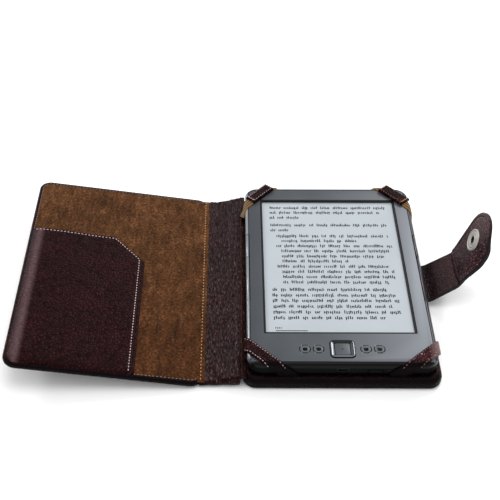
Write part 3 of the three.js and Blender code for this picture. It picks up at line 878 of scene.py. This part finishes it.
# snap: socket on the inside of the tip, its cap outside, and the stud on the front panel
snapLook = {
    "reach": 22.4,
    "socket": [(7.15, 1.2), (7.2, 1.6), (7.0, 2.0), (6.5, 2.25), (6.0, 2.2), (5.7, 1.95), (5.35, 1.95),
               (5.1, 2.15), (3.9, 2.2), (3.6, 2.0), (3.35, 2.05), (3.05, 2.3), (2.6, 2.28), (2.3, 1.9),
               (2.2, 0.0), (2.0, -0.4)],
    "cap": [(7.15, -1.2), (7.2, -1.5), (6.9, -1.85), (5.5, -2.15), (3, -2.4), (1, -2.48)],
    "stud": [(6.0, -1.15), (6.0, -2.0), (5.7, -2.2), (4.6, -2.25), (3.2, -2.3), (2.3, -2.5), (1.75, -2.9),
             (1.8, -3.3), (1.9, -3.5), (1.7, -3.75), (1.1, -3.84)],
}


def bentRun(corners, radii):  # a line through corners, its bends rounded to those radii
    corners = [Vector(c) for c in corners]
    points = [corners[0]]
    for before, corner, after, radius in zip(corners, corners[1:], corners[2:], radii):
        first, second = (before - corner).normalized(), (after - corner).normalized()
        turn = math.pi - first.angle(second)
        cut = radius * math.tan(turn / 2)
        start, end = corner + first * cut, corner + second * cut
        for share in range(13):
            t = share / 12
            points.append(start.lerp(corner, t).lerp(corner.lerp(end, t), t))
    points.append(corners[-1])
    return points


def makeClosure():
    look = closureLook
    root = Vector(joints["strap_fold"]["pos_m"]) * 1000
    crease = Vector(joints["strap_tip_fold"]["pos_m"]) * 1000
    lean = math.radians(70.6)
    end = crease + Vector((math.cos(lean), 0, math.sin(lean))) * look["tip"]
    low = crease - Vector((math.cos(lean), 0, math.sin(lean))) * look["sag"]
    corners = [look["start"], (root.x, root.z - 0.3), (low.x, low.z), (end.x, end.z)]
    line = bentRun(corners, (look["bendRoot"], look["bendCrease"]))
    total = outlineLength(line)
    toCrease = outlineLength(line[:21])
    toRoot = outlineLength(line[:8])

    def widthAt(run):
        if run < toCrease:
            return look["rootWidth"] + (look["width"] - look["rootWidth"]) * run / toCrease
        return look["width"] + (look["tipWidth"] - look["width"]) * (run - toCrease) / (total - toCrease)

    def surface(run, y, lift):
        at, ahead = alongOutline(line, min(run, total - 0.02)), alongOutline(line, min(run + 0.3, total))
        along = (ahead - alongOutline(line, max(min(run, total - 0.02) - 0.3, 0))).normalized()
        return Vector((at.x - along.y * lift, y, at.y + along.x * lift))

    def shape(across, along, top):
        run = along + total / 2
        half = widthAt(run) / 2
        y = across * half * 2
        run, y = roundCorner(run, y, total, math.copysign(half, y or 1), half)
        cap = half - math.hypot(run - total + half, y) if run > total - half else half - abs(y)
        rim = 0.5 * max(1 - max(cap, 0) / 0.7, 0) ** 2
        groove = 0.32 * math.exp(-((cap - look["groove"]) / 0.42) ** 2)
        groove *= smoothStep(run, toCrease + 3, toCrease + 12)
        bow = run - toCrease - 0.8 + 1.8 * (1 - (y / half) ** 2)
        fold = 0.5 * math.exp(-(bow / 1.3) ** 2) - 0.3 * math.exp(-((bow - 2.6) / 1.2) ** 2)
        ripple = 0.16 * noise.noise(Vector((run / 2.5, y / 9, 2))) * math.exp(-((run - toCrease) / 9) ** 2)
        thick = look["thick"] / 2
        lift = thick - rim - groove - fold + ripple if top else -thick + rim + ripple
        splay = smoothStep(run, toCrease + 2, toCrease + 20) * (1 - smoothStep(run, toCrease + 24, total))
        spot = surface(run, y, lift)  # the near side of the tip leans out a little
        spot.x += look["splay"] * splay * max(-y / half, 0) ** 3
        return spot

    halfway = (toRoot + toCrease) / 2 + 1.5
    middle, ahead = surface(halfway, 0, 0), surface(halfway + 0.5, 0, 0)
    halves = (("Root", "root", "closure", "strap_fold", "closure_strap"),
              ("Tip", "closure", "closure_end", "strap_tip_fold", "closure_tip"))
    for side, first, second, joint, node in halves:
        bm = softSlab(76, 200, (1, total), shape, sides=1)
        cutAcross(bm, middle, (ahead - middle).normalized(), side == "Root")
        laid = bm.loops.layers.uv["laid"]
        for face in bm.faces:
            across = sum(loop[laid].uv.x for loop in face.loops) / len(face.loops) * 1000
            if across < look["nearEdge"]:  # burnished dark round the near edge
                face.material_index = 1
            for loop in face.loops:
                loop[laid].uv.x *= look["width"]
        half = finishPiece(bm, "closureLeather" + side, [tipHide, dyedEdge], smooth=50)
        if side == "Tip":  # hole for the stud inside the socket
            hole = roundedBlock(4.3, 4.3, 2.1, -0.5, 4, x=snapLook["reach"])
            bmesh.ops.transform(hole, matrix=tipPlace, verts=hole.verts)
            cutAway(half, [hole])
        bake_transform(half)
        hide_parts(node)


makeClosure()


def turnedPiece(name, profile, x, place, node, body, deep):
    bm = bmesh.new()
    verts = [bm.verts.new((radius, 0, height)) for radius, height in profile]
    for first, second in zip(verts, verts[1:]):
        bm.edges.new((first, second))
    bmesh.ops.spin(bm, geom=bm.verts[:] + bm.edges[:], cent=(0, 0, 0), axis=(0, 0, 1), angle=math.tau,
                   steps=56, use_merge=True)
    closeHoles(bm)
    faceOut(bm)
    for vert in bm.verts:  # coined ticks round the flat of the ring
        radius = vert.co.xy.length
        if deep and 3.8 < radius < 5.2:
            vert.co.z += deep * math.sin(14 * math.atan2(vert.co.y, vert.co.x))
    for face in bm.faces:  # painted shade: the faces inside the socket's hole are black
        middle = face.calc_center_median()
        if name == "snapSocket" and middle.xy.length < 2.25:
            face.material_index = 1
    bmesh.ops.translate(bm, vec=(x, 0, 0), verts=bm.verts)
    piece = finishPiece(bm, name, [nickel, blackTrim] if name == "snapSocket" else [nickel], place, smooth=40)
    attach(piece, body)
    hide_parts(node)


studLow, studHigh = nodeBox("snap_stud")
studX = (coverPlace.inverted() @ ((studLow + studHigh) / 2)).x
turnedPiece("snapSocket", snapLook["socket"], snapLook["reach"], tipPlace, "snap_socket", "closure_end", 0.09)
turnedPiece("snapCap", snapLook["cap"], snapLook["reach"], tipPlace, "snap_cap", "closure_end", 0)
turnedPiece("snapStud", snapLook["stud"], studX, coverPlace, "snap_stud", "front_cover", 0)
print("closure strap and snap made")


# the device, its places from the middle of its back

pageLook = {"level": 7.1, "rows": [  # each row: height, start and end
    (62.7, -39.7, 39.3), (57.5, -39.8, 35.5), (52.2, -39.9, -20.8), (44.3, -39.6, 39.5), (39.0, -39.7, -26.4),
    (33.0, -35.9, 39.2), (28.1, -32.6, 19.0), (23.0, -36.2, 40.1), (18.0, -33.0, 39.8), (12.9, -32.8, 35.2),
    (8.1, -32.6, 10.4), (3.0, -36.0, 37.8), (-1.9, -33.0, 39.4), (-6.8, -32.7, 39.4), (-11.8, -32.8, 34.7),
    (-18.6, -39.9, 31.7), (-23.7, -40.1, 39.3), (-28.5, -40.0, 39.3), (-33.6, -39.7, 34.4),
    (-38.6, -39.9, 39.5), (-43.5, -39.8, 29.0)], "space": 2.0, "progress": (-39.2, -19.7, -54.4)}
caseLook = {"corner": 9, "seam": 5.0, "band": 1.9, "shellTop": 4.75, "shellFoot": 1.5,
            "screen": (93.2, 127.9, 5.85), "keyRow": -70.8, "pageSeams": (-30, 11, 33)}
keyPlaces = {"backKey": ("back_key", -22.4), "keyboardKey": ("keyboard_key", -14.3),
             "menuKey": ("menu_key", 14.0), "homeKey": ("home_key", 22.1)}


def makeBezel():
    look = caseLook
    width, length, top = deviceLook["halfX"] * 2, deviceLook["halfY"] * 2, deviceLook["top"]
    bm = roundedBlock(width, length, look["corner"], look["seam"], top, steps=12)
    roundLevel(bm, top, look["band"], 7)
    face = topFace(bm)
    for other in bm.faces:
        other.material_index = 1
    insetTop(bm, face, (0.08, -0.45), (0.38, 0), (0.08, 0.42), (0.18, 0.06))
    face.material_index = 0
    for other in bm.faces:
        middle = other.calc_center_median()
        inside = min(width / 2 - abs(middle.x), length / 2 - abs(middle.y))
        if look["band"] + 0.02 < inside < look["band"] + 0.5 and middle.z > 7.5:
            other.material_index = 2
        elif inside >= look["band"] + 0.5:
            other.material_index = 0
    bezel = finishPiece(bm, "frontBezel", [facePaint, bandPaint, blackTrim])

    screenWidth, screenLength, screenY = look["screen"]
    keyY = look["keyRow"]
    cutters = [roundedBlock(width - 3.6, length - 3.6, look["corner"] - 1.8, 4, 7.3),
               roundedBlock(screenWidth, screenLength, 0.8, 4, 10, y=screenY, steps=3),
               roundedBlock(15.4, 14.8, 3.0, 4, 10, y=keyY, steps=5)]
    cutters += [roundedBlock(7.0, 6.7, 3.25, 4, 10, x=x, y=keyY, steps=6) for _, x in keyPlaces.values()]
    low, _, high = look["pageSeams"]
    for side in (-1, 1):
        cutters.append(roundedBlock(3.8, high - low, 0, 4, 8, x=side * 56.1, y=(low + high) / 2))
        cutters.append(roundedBlock(3.54, high - low, 0, 4, 10, x=side * 56.18, y=(low + high) / 2))
    cutAway(bezel, cutters)
    for wall in bezel.data.polygons:  # the sides of the screen and key openings are black
        x, y = wall.center.x * 1000, wall.center.y * 1000
        upright = abs(wall.normal.z) < 0.7 and wall.center.z > 0.006
        inScreen = abs(x) < screenWidth / 2 + 0.2 and abs(y - screenY) < screenLength / 2 + 0.2
        if upright and (inScreen or abs(y - keyY) < 7.8 and abs(x) < 27):
            wall.material_index = 2
    bezel.data.transform(Matrix.Translation(deviceBase / 1000))
    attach(bezel, "root")
    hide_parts("front_bezel")


def makeScreenBorder():  # black frame printed round the page
    width, length, middle = caseLook["screen"]
    bm = newGrid(width + 0.8, length + 0.8)
    bmesh.ops.inset_region(bm, faces=bm.faces[:], thickness=0.5, depth=0, use_even_offset=True,
                           use_boundary=True)
    page = min(bm.faces, key=lambda f: f.calc_center_median().length)
    for vert in page.verts:
        vert.co.x += -1.3 if vert.co.x > 0 else 0.8
        vert.co.y += -0.9 if vert.co.y > 0 else 0.6
    bmesh.ops.delete(bm, geom=[page], context="FACES_ONLY")
    raiseFaces(bm, bm.faces[:], 0.1)
    faceOut(bm)
    bmesh.ops.translate(bm, vec=(0, middle, pageLook["level"]), verts=bm.verts)
    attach(finishPiece(bm, "screenBorder", [blackTrim], devicePlace), "root")


def makeShell():
    look = caseLook
    width, length = deviceLook["halfX"] * 2, deviceLook["halfY"] * 2
    bm = roundedBlock(width, length, look["corner"], 0, look["shellTop"], steps=12)
    roundLevel(bm, 0, look["shellFoot"], 5)
    shell = finishPiece(bm, "rearShell", [shellPlastic])
    mouths = [("usb_socket", 0.3), ("power_key", 0.3), ("charge_light", 0.25)]
    cutters = [roundedBlock(width - 3.2, length - 3.2, look["corner"] - 1.6, 1.2, 6)]
    for node, room in mouths:
        low, high = (corner - deviceBase for corner in nodeBox(node))
        cutters.append(roundedBlock(high.x - low.x + 2 * room, 8, 0, low.z - room, high.z + room,
                                    x=(low.x + high.x) / 2, y=-deviceLook["halfY"]))
    cutAway(shell, cutters)
    shell.data.transform(Matrix.Translation(deviceBase / 1000))
    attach(shell, "root")
    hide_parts("rear_shell")


makeBezel()
makeScreenBorder()
makeShell()
print("case halves made")


# keys

keyLook = {"size": (6.0, 5.7), "corner": 2.8, "foot": 6.8, "top": 9.1, "round": 0.5}


keyMarks = {  # bars of plain picture marks, each (x, y, width, length, turn): arrow, grid, lines, house
    "backKey": [(0.35, 0.55, 1.5, 0.3, 0), (-0.55, 0.8, 0.9, 0.3, 42), (-0.55, 0.3, 0.9, 0.3, -42),
                (0.95, 0.1, 0.3, 1.1, 0), (0.3, -0.4, 1.4, 0.3, 0)],
    "keyboardKey": [(x, y, 0.4, 0.36, 0) for y in (-0.55, 0, 0.55) for x in (-0.9, -0.3, 0.3, 0.9)],
    "menuKey": [(0, y, 2.0, 0.32, 0) for y in (-0.65, 0, 0.65)],
    "homeKey": [(-0.55, 0.5, 1.6, 0.32, 38), (0.55, 0.5, 1.6, 0.32, -38), (0, -0.4, 1.6, 1.1, 0)],
}


def addMark(bm, x, y, width, length, level, turn=0, thick=0.08):
    made = bmesh.ops.create_cube(bm, size=1)["verts"]
    bmesh.ops.scale(bm, vec=(width, length, thick), verts=made)
    if turn:
        bmesh.ops.rotate(bm, cent=(0, 0, 0), matrix=Matrix.Rotation(math.radians(turn), 3, "Z"), verts=made)
    bmesh.ops.translate(bm, vec=(x, y, level), verts=made)


def makeFrontKeys():
    look, keyY = keyLook, caseLook["keyRow"]
    for name, (node, x) in keyPlaces.items():
        bm = roundedBlock(*look["size"], look["corner"], look["foot"], look["top"], x=x, y=keyY, steps=8)
        roundLevel(bm, look["top"], look["round"], 4)
        insetTop(bm, topFace(bm), (0.12, 0.0), (0.4, -0.3), (0.5, -0.15), (0.4, -0.03))
        cap = finishPiece(bm, name, [keyPlastic], devicePlace)
        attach(cap, node)
        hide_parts(node)
        bm = bmesh.new()
        for markX, markY, width, length, turn in keyMarks[name]:
            addMark(bm, markX, markY, width, length, look["top"] - 0.42, turn)
        bmesh.ops.translate(bm, vec=(x - 0.3, keyY + 0.1, 0), verts=bm.verts)
        marks = finishPiece(bm, name + "Mark", [blackTrim], devicePlace)
        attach(marks, node)


def makeFiveWayPad():
    keyY = caseLook["keyRow"]
    bm = roundedBlock(14.6, 14, 2.6, 7.6, 9.25, y=keyY, steps=6)
    foot = min(bm.faces, key=lambda f: f.calc_center_median().z)
    roundLevel(bm, 9.25, 0.5, 3)
    head = topFace(bm)
    insetTop(bm, head, (0.35, 0.0), (1.55, -0.62))
    bmesh.ops.inset_region(bm, faces=[foot], thickness=2.4, depth=0, use_even_offset=True)
    rims = head.edges[:] + foot.edges[:]
    bmesh.ops.delete(bm, geom=[head, foot], context="FACES_ONLY")
    bmesh.ops.bridge_loops(bm, edges=rims)
    faceOut(bm)
    # painted shade and reflection: the ring's faces that face the front and the inner slope of its far run are
    # black, its near and far runs take the darker key plastic, and only the side runs show chrome
    for face in bm.faces:
        middle = face.calc_center_median()
        if face.normal.y < -0.2 or abs(middle.x) < middle.y - keyY < 6.7 and middle.z > 8.5:
            face.material_index = 1
        elif abs(middle.y - keyY) > abs(middle.x):
            face.material_index = 2
    ring = finishPiece(bm, "fiveWayRing", [ringChrome, blackTrim, keyPlastic], devicePlace, smooth=28)
    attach(ring, "nav_ring")
    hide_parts("nav_ring")

    bm = roundedBlock(9.1, 9.1, 1.1, 6.8, 8.85, y=keyY, steps=5)
    roundLevel(bm, 8.85, 0.25, 3)
    button = finishPiece(bm, "fiveWayButton", [facePaint], devicePlace)
    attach(button, "nav_button")
    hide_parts("nav_button")
    bm = bmesh.new()
    bmesh.ops.create_uvsphere(bm, u_segments=16, v_segments=8, radius=0.45)
    bmesh.ops.scale(bm, vec=(1, 1, 0.35), verts=bm.verts)
    bmesh.ops.translate(bm, vec=(0, keyY, 8.85), verts=bm.verts)
    dot = finishPiece(bm, "fiveWayDot", [blackTrim], devicePlace)
    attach(dot, "nav_button")


pageKeyLook = {"width": 2.1, "gap": 0.35, "height": 3.3, "x": 55.95, "z": 6.95, "round": 1.85, "slant": -0.85,
               "blunt": 0.12}


def makePageKeys():
    look = pageKeyLook
    low, seam, high = caseLook["pageSeams"]
    for side, sign in (("left", -1), ("right", 1)):
        for name, start, end in (("page_forward_key", low, seam), ("page_back_key", seam, high)):
            bm = bmesh.new()
            bmesh.ops.create_cube(bm, size=1)
            bmesh.ops.scale(bm, vec=(look["width"], end - start - look["gap"], look["height"]), verts=bm.verts)
            bmesh.ops.translate(bm, vec=(look["x"], (start + end) / 2, look["z"]), verts=bm.verts)
            rim = [e for e in bm.edges if all(v.co.x > 56.9 and v.co.z > 8.5 for v in e.verts)]
            roundEdges(bm, rim, look["round"], 7)
            inner = [v for v in bm.verts if v.co.x < 55.0 and v.co.z > 8]
            bmesh.ops.translate(bm, vec=(0, 0, look["slant"]), verts=inner)
            level = [e for e in bm.edges if abs(e.verts[0].co.y - e.verts[1].co.y) < 1e-3]
            ends = [e for e in level if e.calc_face_angle() > 1]
            roundEdges(bm, ends, look["blunt"], 2)
            if sign < 0:
                bmesh.ops.rotate(bm, cent=(0, (start + end) / 2, 0), matrix=Matrix.Rotation(math.pi, 3, "Z"),
                                 verts=bm.verts)
            node = side + "_" + name
            words = node.split("_")
            title = words[0] + "".join(word.capitalize() for word in words[1:])
            piece = finishPiece(bm, title, [bandPaint], devicePlace)
            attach(piece, node)
            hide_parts(node)


def makePowerKey():
    low, high = (corner - deviceBase for corner in nodeBox("power_key"))
    bm = roundedBlock(high.x - low.x, high.z - low.z, 0.9, 0, high.y - low.y, steps=5)
    roundLevel(bm, high.y - low.y, 0.3, 3)
    turn = Matrix.Rotation(math.radians(90), 4, "X")
    middle = Vector(((low.x + high.x) / 2, high.y, (low.z + high.z) / 2))
    piece = finishPiece(bm, "powerKey", [shellPlastic], devicePlace @ Matrix.Translation(middle) @ turn)
    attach(piece, "power_key")
    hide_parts("power_key")


makeFrontKeys()
makeFiveWayPad()
makePageKeys()
makePowerKey()
print("keys made")


# what the page shows: greeked lines, rows of plain ticks in word lengths with no letters in them

def makePageMarks():
    look = pageLook
    chance = random.Random(11)
    thick = 0.03
    level = look["level"] + thick / 2
    bm = bmesh.new()
    for y, x, end in look["rows"]:
        while x < end:
            for _ in range(chance.choice((3, 4, 6, 7, 9, 12))):
                if x > end:
                    break
                tall = chance.choice((0, 0, 0.7, 0.9))
                shift = tall / 2 * chance.choice((1, 1, -0.6))
                addMark(bm, x, y + shift, 0.6, 1.9 + tall, level, thick=thick)
                if chance.random() < 0.6:
                    bar = y + chance.choice((-0.7, 0, 0.7))
                    addMark(bm, x + 0.55, bar, 0.7, 0.42, level + 0.001, thick=thick)
                x += chance.choice((1.0, 1.1, 1.3))
            x += look["space"]
    start, end, y = look["progress"]
    addMark(bm, (start + end) / 2, y, end - start, 0.6, level, thick=thick)
    for index in range(4):
        addMark(bm, start + 1.1 * index, y + 2.4, 0.45, 1.3, level, thick=thick)
    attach(finishPiece(bm, "pageMarks", [pageInk], devicePlace), "root")


makePageMarks()
print("page marks made")


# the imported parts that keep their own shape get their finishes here

def makePartFinishes():
    # die-cast magnesium alloy, bead blasted
    castFrame = plainSurface("blastedCastMagnesium", "#84898c", "#a3a8ab", 0.6, 0.04, (0.42, 0.6),
                             Metallic=0.85)
    # lithium cell in aluminium laminate foil
    pouch = plainSurface("laminateFoilPouch", "#a9adb1", "#c6cacd", 3, 0.12, (0.3, 0.45), Metallic=0.8)
    # glass-epoxy laminate under green solder resist
    circuit = plainSurface("greenSolderResist", "#154a2e", "#23694a", 1.6, 0.03, (0.35, 0.5), IOR=1.55)
    # cold-rolled steel with a nickel flash
    steel = plainSurface("nickelFlashedSteel", "#9b9d9f", "#bfc1c3", 0.8, 0.02, (0.25, 0.38), Metallic=1)
    # steel blackened by an oxide bath, inside the socket
    darkSteel = plainSurface("blackOxideSteel", "#1b1c1e", "#2a2b2d", 0.8, 0.02, (0.35, 0.5), Metallic=0.8)
    # grey chipboard, the stiffener inside the panels
    chipboard = plainSurface("greyChipboard", "#7b7568", "#989182", 1.2, 0.1, (0.85, 0.98), IOR=1.4)
    # smoked polycarbonate, the light behind it off
    lens = plainSurface("unlitSmokedLens", "#15170f", "#1f2218", 1, 0.01, (0.15, 0.25), IOR=1.58)
    finishes = {
        "screen_gasket": blackTrim, "key_sheet": blackTrim, "nav_carrier": blackTrim,
        "display_panel": pageFilm, "mid_frame": castFrame, "battery": pouch, "main_board": circuit,
        "side_switch_left": circuit,
        "side_switch_right": circuit, "shield_can": steel, "usb_socket": darkSteel, "charge_light": lens,
        "back_board": chipboard, "front_board": chipboard,
    }
    for index in (1, 2, 3, 4):
        finishes["case_screw_" + str(index)] = steel
    for node, material in finishes.items():
        part = frame["nodes"][node]
        part.data.materials.clear()
        part.data.materials.append(material)


makePartFinishes()


# floor and light

studio = {
    "floor": "#fafafa", "world": ("#ffffff", 0.9),
    "lights": [  # name, place and aim in metres, size, watts
        ("overhead", (0.0, -0.05, 1.5), (0.0, 0.0, 0.0), 1.0, 7),
        ("leftWindow", (-0.95, 0.8, 0.65), (-0.15, 0.0, 0.0), 0.28, 4.5),
        ("rightWindow", (0.62, 1.1, 1.15), (0.03, 0.0, 0.0), 0.5, 11),
    ],
}


def makeStudio():
    bm = bmesh.new()
    bmesh.ops.create_grid(bm, x_segments=1, y_segments=1, size=4000)
    bmesh.ops.translate(bm, vec=(0, 0, cadBounds[0].z * 1000), verts=bm.verts)
    # painted studio board: matt and even
    board = plainSurface("paleMattStudioBoard", studio["floor"], studio["floor"], 4, 0.02, (0.9, 0.95),
                         IOR=1.4)
    board.node_tree.nodes["Principled BSDF"].inputs["Specular IOR Level"].default_value = 0.1
    finishPiece(bm, "studioFloor", [board])
    world = bpy.data.worlds.new("softRoom")
    bpy.context.scene.world = world
    world.use_nodes = True
    glow = world.node_tree.nodes["Background"]
    glow.inputs["Color"].default_value = linear(studio["world"][0])
    glow.inputs["Strength"].default_value = studio["world"][1]
    for name, place, aim, size, power in studio["lights"]:
        data = bpy.data.lights.new(name, "AREA")
        data.shape = "DISK"
        data.size = size
        data.energy = power
        lamp = bpy.data.objects.new(name, data)
        lamp.location = place
        lamp.rotation_euler = (Vector(aim) - Vector(place)).to_track_quat("-Z", "Y").to_euler()
        bpy.context.scene.collection.objects.link(lamp)
    bpy.context.scene.view_settings.view_transform = "Standard"


makeStudio()
print("floor and light ready")
